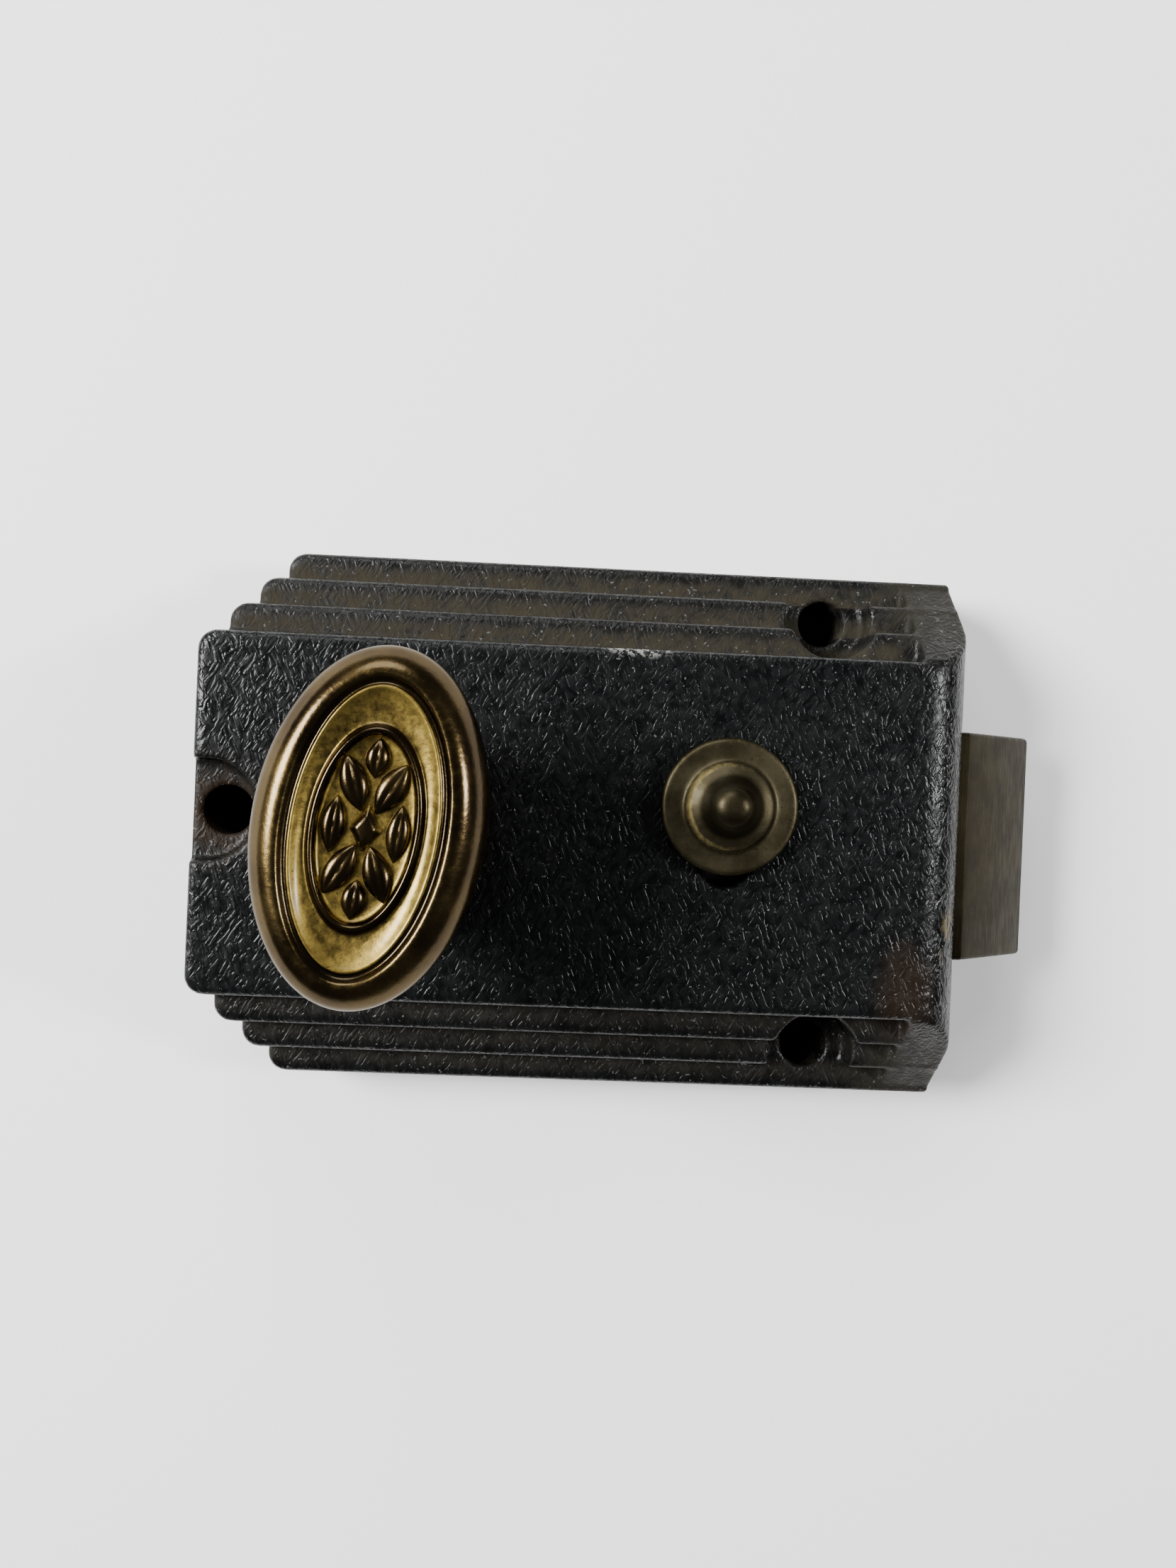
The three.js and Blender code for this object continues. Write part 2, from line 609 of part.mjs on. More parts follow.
add('case', caseBody(), 'wrinkle');
add('back_plate', backPlate(), 'steel');
PLATE_SCREWS.forEach((at, i) => add(`back_plate_screw_${i + 1}`, plateScrew(at), 'steel'));
add('knob_washer', ring(9, 4.4, CASE_DEPTH + GAP, KNOB_BASE - 0.3, KNOB_X, 0), 'brass');
add('spring_bracket', bracketBody(), 'steel');
add('bracket_screw', ceilingScrew(BRACKET_SCREW.x, BRACKET_SCREW.y, 16.5, CEILING - 2, 2.4, 1.3,
  CEILING + 1), 'steel');
add('guide_post', guidePost(), 'steel');
add('guide_washer', ring(4.2, 1.2, 6.8, TAIL_BOTTOM - 0.45, GUIDE.x, GUIDE.y), 'steel');
add('guide_screw', ceilingScrew(GUIDE.x, GUIDE.y, 5.2, 6.6, 2.8, 1, TAIL_TOP + 4), 'steel');
add('stop_leaf_spring', leafSpring(), 'spring_steel');
add('leaf_screw', ceilingScrew(LEAF.x, LEAF.screwY, 17.6, CEILING - 1, 2.2, 1.3, CEILING + 1), 'steel');

const knobSet = new THREE.Group();
knobSet.position.set(KNOB_X, 0, 0);
latch.add(knobSet);
add('knob', knobBody(), 'brass', knobSet);
add('knob_pin', pinAlongY(KNOB_PIN.radius, -9.6, 9.6, KNOB_PIN.z), 'steel', knobSet);
add('spindle', spindleBody(), 'steel', knobSet);
add('spindle_clip', clipBody(), 'spring_steel', knobSet);
add('cam', camBody(), 'steel', knobSet);
add('cam_pin', pinAlongY(CAM_PIN.radius, -6.3, 5.4, CAM_PIN.z), 'steel', knobSet);

add('bolt', boltBody(), 'worn_brass');
add('bolt_tail', boltTail(), 'steel');
RIVETS.forEach((at, i) => add(`tail_rivet_${i + 1}`, rivet(at), 'steel'));
add('spring_rod', springRod(), 'steel');
add('bolt_spring', springBody(), 'spring_steel');

add('stop_button', stopButton(), 'brass');
add('stop_slide', stopSlide(), 'steel');
add('stop_rivet', ring(2.15, 1.6, SLIDE.bottom - 0.75, SLIDE.bottom - 0.15, STOP_X, STOP_Y), 'brass');

export default latch;
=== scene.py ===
"""The looks of a rim night latch lying on its back: black wrinkle enamel on a stepped casting,
a patinated brass knob, a brass stop button and bolt, and the steel works behind them."""

import math

import bmesh
import bpy
from mathutils import Matrix, Vector


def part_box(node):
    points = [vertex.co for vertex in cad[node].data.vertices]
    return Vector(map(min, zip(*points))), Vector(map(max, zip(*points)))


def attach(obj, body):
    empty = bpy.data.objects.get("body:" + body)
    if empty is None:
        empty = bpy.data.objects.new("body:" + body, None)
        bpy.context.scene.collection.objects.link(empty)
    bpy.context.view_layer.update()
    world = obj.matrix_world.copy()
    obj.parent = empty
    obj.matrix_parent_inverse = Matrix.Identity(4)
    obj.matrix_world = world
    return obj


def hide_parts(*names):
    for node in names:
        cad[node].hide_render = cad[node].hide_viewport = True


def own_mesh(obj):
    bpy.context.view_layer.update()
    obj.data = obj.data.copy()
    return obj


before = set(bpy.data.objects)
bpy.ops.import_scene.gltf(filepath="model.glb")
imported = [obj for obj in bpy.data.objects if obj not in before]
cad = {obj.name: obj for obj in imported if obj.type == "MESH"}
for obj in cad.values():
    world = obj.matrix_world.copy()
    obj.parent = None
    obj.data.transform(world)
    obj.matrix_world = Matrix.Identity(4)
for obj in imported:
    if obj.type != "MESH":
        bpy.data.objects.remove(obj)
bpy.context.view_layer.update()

MM = 0.001
EDGE_TINT = (0.54, 0.51, 0.47)
KNOB_LEAN = math.radians(-7.5)
STEP_TREAD = 3.7 * MM
CHEEK_START = 38 * MM

# Places read from the frame.
CASE_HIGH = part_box("case")[1]
KNOB_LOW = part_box("knob")[0]
SPINDLE_LOW, SPINDLE_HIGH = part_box("spindle")
BUTTON_LOW, BUTTON_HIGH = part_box("stop_button")
BOLT_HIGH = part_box("bolt")[1]
SPRING_LOW, SPRING_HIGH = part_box("bolt_spring")
KNOB_AXIS = (SPINDLE_LOW + SPINDLE_HIGH) / 2
BUTTON_AXIS = (BUTTON_LOW + BUTTON_HIGH) / 2
FACE_Z = CASE_HIGH.z
FACE_HALF = CASE_HIGH.y - 3 * STEP_TREAD

# Places of single marks on the case.
RUST_PLACE = (37.5 * MM, -17.5 * MM, FACE_Z)
CHIP_PLACE = (5.5 * MM, FACE_HALF, FACE_Z)
END_HOLE_PLACE = (-41.5 * MM, 0, FACE_Z)
NOSE_PLACE = CASE_HIGH.x - 3.0 * MM
SCRAPE_PLACE = (CASE_HIGH.x - 1.5 * MM, -11 * MM, 18 * MM)


# ------------------------------------------------------------------ mesh work


def smoothed(mesh, angle):
    """Shades a mesh smooth except across edges sharper than the angle, in degrees."""
    mesh.shade_smooth()
    mesh.set_sharp_from_angle(angle=math.radians(angle))


def piece_from(shell, name, smooth_angle=35):
    """Turns a bmesh into a piece."""
    mesh = bpy.data.meshes.new(name)
    bmesh.ops.recalc_face_normals(shell, faces=shell.faces)
    shell.to_mesh(mesh)
    shell.free()
    smoothed(mesh, smooth_angle)
    piece = bpy.data.objects.new(name, mesh)
    bpy.context.scene.collection.objects.link(piece)
    return piece


def merged_copy(node):
    """A CAD node's triangles as one joined-up bmesh, with the flat ones run together."""
    shell = bmesh.new()
    shell.from_mesh(cad[node].data)
    bmesh.ops.remove_doubles(shell, verts=shell.verts, dist=0.002 * MM)
    bmesh.ops.dissolve_limit(
        shell, angle_limit=math.radians(0.5), verts=shell.verts, edges=shell.edges
    )
    return shell


def settle(piece, smooth_angle):
    """Makes what the piece's modifiers do its own mesh."""
    bpy.context.view_layer.update()
    graph = bpy.context.evaluated_depsgraph_get()
    mesh = bpy.data.meshes.new_from_object(piece.evaluated_get(graph))
    piece.modifiers.clear()
    piece.data = mesh
    smoothed(mesh, smooth_angle)


def bevelled(piece, width, segments):
    bevel = piece.modifiers.new("edges", "BEVEL")
    bevel.width = width
    bevel.segments = segments
    bevel.limit_method = "ANGLE"
    bevel.angle_limit = math.radians(30)
    bevel.harden_normals = False


def rounded(piece):
    subdivide = piece.modifiers.new("round", "SUBSURF")
    subdivide.levels = 1
    subdivide.render_levels = 1


def dress(piece, body, material, slot, *nodes):
    """Gives a piece its body, its finish and the CAD nodes that it stands for."""
    piece.data.materials.clear()
    piece.data.materials.append(material)
    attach(piece, body)
    if nodes:
        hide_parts(*nodes)
    return piece


def add_leaf(shell, centre, radii, turn=0.0):
    """A leaf of low relief: a flattened ball drawn to a point at both ends and creased.

    Its centre and radii are in millimetres.
    """
    made = bmesh.ops.create_uvsphere(shell, u_segments=32, v_segments=16, radius=1)
    for vert in made["verts"]:
        narrowing = math.sqrt(max(0.0, 1 - vert.co.y ** 2))
        crease = 0.82 + 0.18 * min(1.0, abs(vert.co.x) / 0.4)
        vert.co.x *= narrowing
        vert.co.z *= crease
    matrix = (
        Matrix.Scale(MM, 4)
        @ Matrix.Translation(centre)
        @ Matrix.Rotation(turn, 4, "Z")
        @ Matrix.Diagonal((*radii, 1))
    )
    bmesh.ops.transform(shell, matrix=matrix, verts=made["verts"])


def ringed(sections, segments, wear_and_highlight):
    """Rings of points drawn up through the sections (half across, half along, height).

    Each ring carries how worn it is: 1 for bright metal, 0 for dark patina, less for grime; on the
    stop button the bright ring stands for a painted highlight.
    """
    shell = bmesh.new()
    worn = shell.verts.layers.float.new("wear_and_highlight")
    across, along, height = sections[0]
    made = bmesh.ops.create_circle(
        shell, cap_ends=True, segments=segments, radius=1,
        matrix=Matrix.Translation((0, 0, height)) @ Matrix.Diagonal((across, along, 1, 1)),
    )
    ring = made["verts"]
    for vert in ring:
        vert[worn] = wear_and_highlight[0]
    edges = list({edge for vert in ring for edge in vert.link_edges})
    for (last, now, amount) in zip(sections, sections[1:], wear_and_highlight[1:]):
        grown = bmesh.ops.extrude_edge_only(shell, edges=edges)["geom"]
        ring = [item for item in grown if isinstance(item, bmesh.types.BMVert)]
        edges = [
            item for item in grown
            if isinstance(item, bmesh.types.BMEdge) and all(v in ring for v in item.verts)
        ]
        ratio = (now[0] / last[0], now[1] / last[1], 1)
        bmesh.ops.scale(shell, vec=ratio, verts=ring)
        bmesh.ops.translate(shell, vec=(0, 0, now[2] - last[2]), verts=ring)
        for vert in ring:
            vert[worn] = amount
    bmesh.ops.contextual_create(shell, geom=edges)
    return shell


# ------------------------------------------------------------------ materials


class Finish:
    """A principled material built up from noise and masks in the piece's own coordinates."""

    def __init__(self, name, **sockets):
        self.material = bpy.data.materials.new(name)
        self.material.use_nodes = True
        self.tree = self.material.node_tree
        self.shader = self.tree.nodes["Principled BSDF"]
        for socket, value in sockets.items():
            self.shader.inputs[socket.replace("_", " ")].default_value = value
        self.coords = self.node("ShaderNodeTexCoord").outputs["Object"]

    def node(self, kind, **settings):
        made = self.tree.nodes.new(kind)
        for key, value in settings.items():
            setattr(made, key, value)
        return made

    def feed(self, socket, value):
        if isinstance(value, bpy.types.NodeSocket):
            self.tree.links.new(value, socket)
        else:
            socket.default_value = value

    def placed(self, location=(0, 0, 0), rotation=(0, 0, 0), scale=(1, 1, 1)):
        mapping = self.node("ShaderNodeMapping")
        self.feed(mapping.inputs["Vector"], self.coords)
        mapping.inputs["Location"].default_value = location
        mapping.inputs["Rotation"].default_value = rotation
        mapping.inputs["Scale"].default_value = scale
        return mapping.outputs["Vector"]

    def drawn_out(self, turn, stretch):
        """Coordinates in which a pattern runs long in the direction turned from +Y."""
        mapping = self.node("ShaderNodeMapping", vector_type="TEXTURE")
        self.feed(mapping.inputs["Vector"], self.coords)
        mapping.inputs["Rotation"].default_value = (0, 0, turn)
        mapping.inputs["Scale"].default_value = (1, stretch, 1)
        return mapping.outputs["Vector"]

    def noise(self, per_mm, detail=3, roughness=0.55, distortion=0.0, at=None):
        texture = self.node("ShaderNodeTexNoise")
        self.feed(texture.inputs["Vector"], at or self.coords)
        texture.inputs["Scale"].default_value = per_mm / MM
        texture.inputs["Detail"].default_value = detail
        texture.inputs["Roughness"].default_value = roughness
        texture.inputs["Distortion"].default_value = distortion
        return texture.outputs["Fac"]

    def maths(self, operation, *values):
        made = self.node("ShaderNodeMath", operation=operation)
        for socket, value in zip(made.inputs, values):
            self.feed(socket, value)
        return made.outputs[0]

    def times(self, product, *factors):
        """The product of all the values."""
        for factor in factors:
            product = self.maths("MULTIPLY", product, factor)
        return product

    def span(self, value, low, high, to_low=0.0, to_high=1.0):
        """The value's stretch from low to high, eased and clamped to the new limits."""
        made = self.node("ShaderNodeMapRange", interpolation_type="SMOOTHSTEP")
        self.feed(made.inputs["Value"], value)
        for socket, number in zip(("From Min", "From Max", "To Min", "To Max"),
                                  (low, high, to_low, to_high)):
            made.inputs[socket].default_value = number
        return made.outputs["Result"]

    def axes(self):
        parts = self.node("ShaderNodeSeparateXYZ")
        self.feed(parts.inputs[0], self.coords)
        return parts.outputs

    def mix(self, amount, first, second):
        made = self.node("ShaderNodeMix", data_type="RGBA")
        self.feed(made.inputs["Factor"], amount)
        for socket, colour in ((made.inputs[6], first), (made.inputs[7], second)):
            self.feed(socket, (*colour, 1) if isinstance(colour, tuple) else colour)
        return made.outputs[2]

    def blotch(self, centre, radii):
        """1 in the middle of an oval patch, fading to 0 at its ragged rim. Radii in millimetres."""
        edge = 0.35
        reach = [radius * MM for radius in radii]
        vector = self.placed(
            location=tuple(-c / r for c, r in zip(centre, reach)),
            scale=tuple(1 / r for r in reach),
        )
        length = self.node("ShaderNodeVectorMath", operation="LENGTH")
        self.feed(length.inputs[0], vector)
        ragged = self.maths("ADD", length.outputs["Value"], self.times(self.noise(0.5, 5), edge * 2))
        return self.span(ragged, 1.0 + edge, 0.35 + edge)

    def bump(self, height, depth):
        made = self.node("ShaderNodeBump")
        made.inputs["Strength"].default_value = 1.0
        made.inputs["Distance"].default_value = depth
        self.feed(made.inputs["Height"], height)
        return made.outputs["Normal"]

    def set(self, **links):
        """Links the named sockets of the shader and hands back the finished material."""
        for socket, value in links.items():
            self.feed(self.shader.inputs[socket.replace("_", " ")], value)
        return self.material


def wrinkle_relief(f):
    """Short ridges that lean one way or the other in patches, and the same ridges over a grit."""
    leaning = [
        f.span(f.noise(2.2, 1, 0.5, 0.2, at=f.drawn_out(turn, 3.6)), 0.40, 0.62)
        for turn in (0.42, -0.55)
    ]
    which = f.span(f.noise(0.55, 2), 0.46, 0.54)
    kept = f.times(leaning[0], f.maths("SUBTRACT", 1.0, which))
    ridges = f.maths("ADD", kept, f.times(leaning[1], which))
    gritty = f.maths("ADD", ridges, f.times(f.noise(3.0, 2, 0.6), 0.6))
    strength = f.span(f.noise(0.09, 2), 0.3, 0.6, 0.7, 1.0)
    return ridges, f.times(gritty, strength)


def dust_on_case(f, treads, across):
    """How thick the brown dust lies on the treads, most on the upper ones, and on the cheeks."""
    x, y, _ = f.axes()
    lying = f.span(across, 0.8, 0.35, 0.1, 1.0)
    upper = f.span(y, -FACE_HALF, FACE_HALF, 0.36, 1.0)
    patchy = f.span(f.noise(0.5, 5, 0.65), 0.3, 0.62, 0.25, 1.0)
    stepped = f.times(treads, f.span(x, CHEEK_START, CHEEK_START - 3 * MM))
    cheeks = f.times(
        f.span(x, CHEEK_START - 5 * MM, CHEEK_START),
        f.span(f.maths("ABSOLUTE", y), FACE_HALF - 2 * MM, FACE_HALF + 6 * MM), 0.5,
    )
    return f.maths("MAXIMUM", f.times(stepped, upper, patchy, lying), cheeks)


def rust_on_case(f):
    by_the_nose = f.times(f.blotch(RUST_PLACE, (4.5, 7.5, 12)), 0.42)
    round_end_hole = f.times(f.blotch(END_HOLE_PLACE, (5.8, 6.2, 12)), 0.6)
    return f.maths("ADD", by_the_nose, round_end_hole)


def marks_on_case(f, treads, across):
    """Where the enamel is rubbed, scraped or chipped, and its painted glints, each with its colour.
    """
    x, _, z = f.axes()
    lips = f.times(f.span(across, 0.88, 0.95), treads)
    rubbed = f.times(lips, f.span(f.noise(0.4, 4), 0.4, 0.6, 0.0, 0.4))
    # Pale flecks over the enamel: painted glints.
    painted_glint_flecks = f.span(f.noise(2.2, 1), 0.71, 0.74)
    nose = f.times(f.span(x, NOSE_PLACE - 0.8 * MM, NOSE_PLACE), f.span(z, 10 * MM, 15 * MM))
    # Pale specks along the nose's highlight line: painted glints.
    nose_painted_glints = f.times(nose, f.span(f.noise(1.1, 3, 0.6), 0.60, 0.64, 0.0, 0.8))
    scratches = f.span(f.noise(0.9, 3, at=f.placed(scale=(1.0, 0.4, 1))), 0.56, 0.62)
    scraped = f.times(f.blotch(SCRAPE_PLACE, (2.0, 5.5, 10)), scratches)
    chips = f.span(f.noise(1.5, 3), 0.52, 0.56)
    chipped = f.times(f.blotch(CHIP_PLACE, (5.0, 1.3, 4.0)), chips)
    return (
        (rubbed, (0.018, 0.017, 0.015)),
        (rust_on_case(f), (0.020, 0.0115, 0.0065)),
        (painted_glint_flecks, (0.060, 0.062, 0.060)),
        (nose_painted_glints, (0.050, 0.050, 0.046)),
        (scraped, (0.10, 0.076, 0.030)),
        (chipped, (0.16, 0.16, 0.15)),
    )


def wrinkle_enamel():
    """Black wrinkle enamel: short worm-like ridges, brown dust on the steps, a little rust."""
    f = Finish("wrinkle_enamel", Metallic=0.0)
    x, y, _ = f.axes()
    away = f.maths("ABSOLUTE", y)
    treads = f.span(away, FACE_HALF - 0.3 * MM, FACE_HALF + 0.4 * MM)
    across = f.maths("FRACT", f.maths("DIVIDE", f.maths("SUBTRACT", away, FACE_HALF), STEP_TREAD))
    ridges, relief = wrinkle_relief(f)
    recess = f.times(f.blotch(END_HOLE_PLACE, (7.5, 8.0, 12)), 0.25)
    dusty = f.maths("MAXIMUM", dust_on_case(f, treads, across), recess)

    base = f.mix(
        f.span(f.noise(0.2, 4), 0.35, 0.7), (0.0011, 0.0013, 0.0014), (0.0026, 0.0028, 0.0028)
    )
    layers = (
        # Ridge tops painted a little lighter: a painted highlight on the wrinkles.
        (f.times(ridges, 0.6), (0.0052, 0.0056, 0.0058)),
        (f.times(dusty, 0.85), (0.0255, 0.0220, 0.0150)),
        *marks_on_case(f, treads, across),
    )
    for amount, colour in layers:
        base = f.mix(amount, base, colour)

    gleam = f.span(x, NOSE_PLACE - 2.0 * MM, NOSE_PLACE, 0.29, 0.19)
    rough = f.maths("ADD", gleam, f.times(dusty, 0.48))
    rough = f.maths("ADD", rough, f.span(f.noise(0.8, 2), 0.3, 0.7, -0.05, 0.1))
    sheen = f.maths("SUBTRACT", 0.165, f.times(f.maths("ADD", recess, dusty), 0.12))
    return f.set(Base_Color=base, Roughness=rough, Specular_IOR_Level=sheen,
                 Normal=f.bump(relief, 0.05 * MM))


def brass_finish(name, dark, mid, bright, rough_low, rough_high, lacquer):
    """Old brass. Its wear value is 1 where hands keep it bright and below 0 where grime lies; on the
    stop button the bright ring is a painted highlight.
    """
    f = Finish(name, Metallic=1.0, Specular_Tint=(*EDGE_TINT, 1), Coat_Weight=lacquer,
               Coat_Roughness=0.16)
    clouds = f.noise(0.16, 5, 0.6)
    fine = f.noise(1.4, 4, 0.6)
    wear_and_highlight = f.node("ShaderNodeAttribute", attribute_name="wear_and_highlight").outputs["Fac"]
    polish_and_highlight = f.span(f.maths("ADD", wear_and_highlight, f.times(f.maths("SUBTRACT", fine, 0.5), 0.8)), 0.15, 0.9)
    dulled, grimy, pitted = (
        tuple(channel * share for channel in colour)
        for colour, share in ((bright, 0.6), (dark, 0.3), (dark, 0.4))
    )
    polished = f.mix(f.span(f.noise(0.7, 4, 0.65), 0.35, 0.65), dulled, bright)
    tone = f.mix(f.span(clouds, 0.35, 0.68), dark, mid)
    tone = f.mix(polish_and_highlight, tone, polished)
    tone = f.mix(f.span(wear_and_highlight, 0.0, -0.5), tone, grimy)
    tone = f.mix(f.times(f.span(f.noise(2.4, 2), 0.64, 0.72), 0.6), tone, pitted)
    rough = f.maths("ADD", f.span(clouds, 0.3, 0.7, rough_low, rough_high), f.times(polish_and_highlight, 0.22))
    relief = f.maths("ADD", f.times(clouds, 0.6), f.times(fine, 0.45))
    return f.set(Base_Color=tone, Roughness=rough, Normal=f.bump(relief, 0.07 * MM))


def bolt_finish():
    """Grey-brown worn brass, rubbed crossways by the strike, with a painted shadow where it enters
    the case.
    """
    f = Finish("bolt_brass", Metallic=1.0)
    x = f.axes()[0]
    streaks = f.noise(1.0, 4, at=f.placed(scale=(4, 0.35, 1)))
    clouds = f.noise(0.25, 4, 0.6)
    tone = f.mix(f.span(clouds, 0.35, 0.65), (0.019, 0.0150, 0.0076), (0.033, 0.0265, 0.0138))
    tone = f.mix(f.times(f.span(streaks, 0.5, 0.75), 0.6), tone, (0.046, 0.038, 0.0215))
    # Painted shadow of the case, darkening the bolt next to it.
    painted_case_shadow = f.span(x, CASE_HIGH.x + 3.5 * MM, CASE_HIGH.x - 1 * MM)
    tone = f.mix(f.times(painted_case_shadow, 0.65), tone, (0.010, 0.0085, 0.0058))
    tip = f.span(x, BOLT_HIGH.x - 1.2 * MM, BOLT_HIGH.x)
    tone = f.mix(f.times(tip, 0.5), tone, (0.026, 0.021, 0.014))
    rough = f.span(streaks, 0.3, 0.7, 0.46, 0.62)
    return f.set(Base_Color=tone, Roughness=rough, Normal=f.bump(streaks, 0.02 * MM))


def steel_finish(name, tone_low, tone_high, grain_turn=0.0, rust=0.25):
    """Plain oiled steel with a drawn grain and a bloom of brown."""
    f = Finish(name, Metallic=1.0)
    grain = f.noise(2.0, 3, at=f.placed(rotation=(0, 0, grain_turn), scale=(0.12, 1.4, 1)))
    clouds = f.noise(0.12, 5, 0.62)
    tone = f.mix(f.span(grain, 0.3, 0.7), tone_low, tone_high)
    bloom = f.times(f.span(clouds, 0.52, 0.72), rust)
    tone = f.mix(bloom, tone, (0.16, 0.085, 0.04))
    rough = f.span(clouds, 0.3, 0.7, 0.32, 0.52)
    return f.set(Base_Color=tone, Roughness=rough, Normal=f.bump(grain, 0.012 * MM))


# ------------------------------------------------------------------ case


def case_casting():
    """The CAD case with its edges softened as a sand casting under thick enamel."""
    piece = piece_from(merged_copy("case"), "case_casting")
    remesh = piece.modifiers.new("cast", "REMESH")
    remesh.mode = "VOXEL"
    remesh.voxel_size = 0.36 * MM
    soften = piece.modifiers.new("soften", "SMOOTH")
    soften.factor = 0.5
    soften.iterations = 3
    thin = piece.modifiers.new("thin", "DECIMATE")
    thin.ratio = 0.5
    settle(piece, 60)
    return dress(piece, "case", wrinkle_enamel(), "wrinkle_black", "case")


# ------------------------------------------------------------------ knob

# Half-widths across and along the oval, height and wear of each ring, in millimetres, from the
# foot to the middle of the field.
KNOB_RINGS = [
    (9.6, 9.6, 24.0, 0.1), (10.5, 10.5, 24.2, 0.1), (10.9, 10.9, 24.9, 0.1),
    (10.8, 11.0, 27.5, 0.0), (10.0, 11.0, 31.5, 0.0), (9.8, 12.0, 35.0, 0.0),
    (10.3, 14.2, 38.6, 0.0), (10.85, 16.4, 41.6, 0.0), (11.1, 17.4, 43.9, 0.0),
    (10.95, 17.3, 45.4, 0.05), (10.3, 16.65, 46.7, 0.1), (9.2, 15.6, 47.75, 0.1),
    (8.4, 14.9, 48.05, 0.2), (7.85, 14.4, 48.1, 0.3), (7.6, 14.15, 47.95, 0.2),
    (7.4, 13.95, 47.65, -0.2), (7.15, 13.7, 47.42, -0.35), (6.9, 13.45, 47.52, 0.0),
    (6.75, 13.28, 47.72, 0.9), (6.58, 13.1, 47.74, 1.0), (6.35, 12.7, 47.5, 0.8),
    (6.0, 11.7, 47.15, 0.65), (5.55, 10.3, 46.95, 0.65), (5.4, 9.9, 46.95, 0.5),
    (5.25, 9.65, 47.2, 0.0), (5.05, 9.4, 47.5, -0.25), (4.85, 9.2, 47.56, -0.2),
    (4.65, 9.0, 47.5, -0.2), (4.48, 8.8, 47.2, 0.2), (4.35, 8.65, 46.85, 0.85),
    (4.0, 8.1, 46.75, 0.65), (1.5, 3.0, 46.75, 0.65),
]


def in_knob_place(shell):
    turn = Matrix.Translation((KNOB_AXIS.x, KNOB_AXIS.y, 0)) @ Matrix.Rotation(KNOB_LEAN, 4, "Z")
    bmesh.ops.transform(shell, matrix=turn, verts=shell.verts)


def spindle_drill(piece):
    """Cuts the spindle's hole into the knob from below, and returns the drill that cuts it."""
    shell = bmesh.new()
    radius = (SPINDLE_HIGH.x - SPINDLE_LOW.x) / 2 + 0.15 * MM
    top = SPINDLE_HIGH.z + 0.3 * MM
    middle = (KNOB_LOW.z - 2 * MM + top) / 2
    bmesh.ops.create_cone(
        shell, cap_ends=True, segments=48, radius1=radius, radius2=radius,
        depth=top - KNOB_LOW.z + 2 * MM,
        matrix=Matrix.Translation((KNOB_AXIS.x, KNOB_AXIS.y, middle)),
    )
    drill = piece_from(shell, "drill")
    drill.hide_render = True
    cut = piece.modifiers.new("bore", "BOOLEAN")
    cut.operation = "DIFFERENCE"
    cut.object = drill
    return drill


def knob_casting(material):
    """The oval knob on its waisted neck, with the sunk ring and the raised ring around its field."""
    sections = [tuple(value * MM for value in ring[:3]) for ring in KNOB_RINGS]
    shell = ringed(sections, 96, [ring[3] for ring in KNOB_RINGS])
    in_knob_place(shell)
    piece = piece_from(shell, "knob_casting", 180)
    drill = spindle_drill(piece)
    rounded(piece)
    settle(piece, 50)
    bpy.data.objects.remove(drill)
    return dress(piece, "knob", material, "knob_brass", "knob")


def add_lozenge(shell, floor):
    """A low four-sided stud with eased edges in the middle of the field."""
    place = Matrix.Translation((0, 0, floor + 0.2 * MM)) @ Matrix.Diagonal((1.9 * MM, 2.8 * MM, 1, 1))
    bmesh.ops.create_cone(
        shell, cap_ends=True, segments=4, radius1=1.0, radius2=0.45, depth=1.0 * MM, matrix=place
    )
    bmesh.ops.bevel(
        shell, geom=shell.edges[:], offset=0.28 * MM, segments=3, profile=0.5, affect="EDGES"
    )


def knob_ornament(material):
    """A plain relief inside the inner oval: a lozenge, six long leaves around it and two buds."""
    shell = bmesh.new()
    field = KNOB_RINGS[-1][2]
    add_lozenge(shell, field * MM)
    for end in (-1, 1):
        for side in (-1, 1):
            add_leaf(shell, (side * 1.75, end * 4.0, field), (1.35, 2.8, 0.85), -side * end * 0.42)
        add_leaf(shell, (end * 3.0, 0, field), (1.15, 2.7, 0.8))
        add_leaf(shell, (0, end * 6.6, field), (1.2, 1.9, 0.85))
    worn = shell.verts.layers.float.new("wear_and_highlight")
    top = max(vert.co.z for vert in shell.verts)
    for vert in shell.verts:
        vert[worn] = min(1.0, (top - vert.co.z) / (top - field * MM)) - 0.2
    in_knob_place(shell)
    piece = piece_from(shell, "knob_ornament", 40)
    return dress(piece, "knob", material, "knob_brass")


# ------------------------------------------------------------------ stop button

# Radius, height above the flange's underside and wear of each ring, in millimetres, outwards
# from the stem and then in to the top. The bright ring at the cone's foot is a painted highlight.
BUTTON_RINGS = [
    (2.8, 0.0, 0.0), (7.3, 0.0, 0.1), (7.7, 0.12, 0.1), (7.8, 0.45, 0.12), (7.8, 1.0, 0.15),
    (7.65, 1.35, 0.2), (7.3, 1.5, 0.15), (6.9, 1.48, 0.1), (5.6, 1.5, 0.1), (5.25, 1.58, 0.1),
    (5.0, 1.85, 0.5), (4.85, 2.15, 1.0), (4.65, 2.35, 0.8), (4.3, 2.5, 0.1), (3.8, 2.75, -0.1),
    (3.4, 3.0, -0.4), (2.95, 3.35, -0.4), (2.55, 3.72, -0.4), (2.3, 4.05, -0.3),
    (2.05, 4.42, -0.25), (1.68, 4.76, -0.2), (1.2, 5.0, -0.2), (0.7, 5.08, -0.15), (0.3, 5.1, -0.1),
]


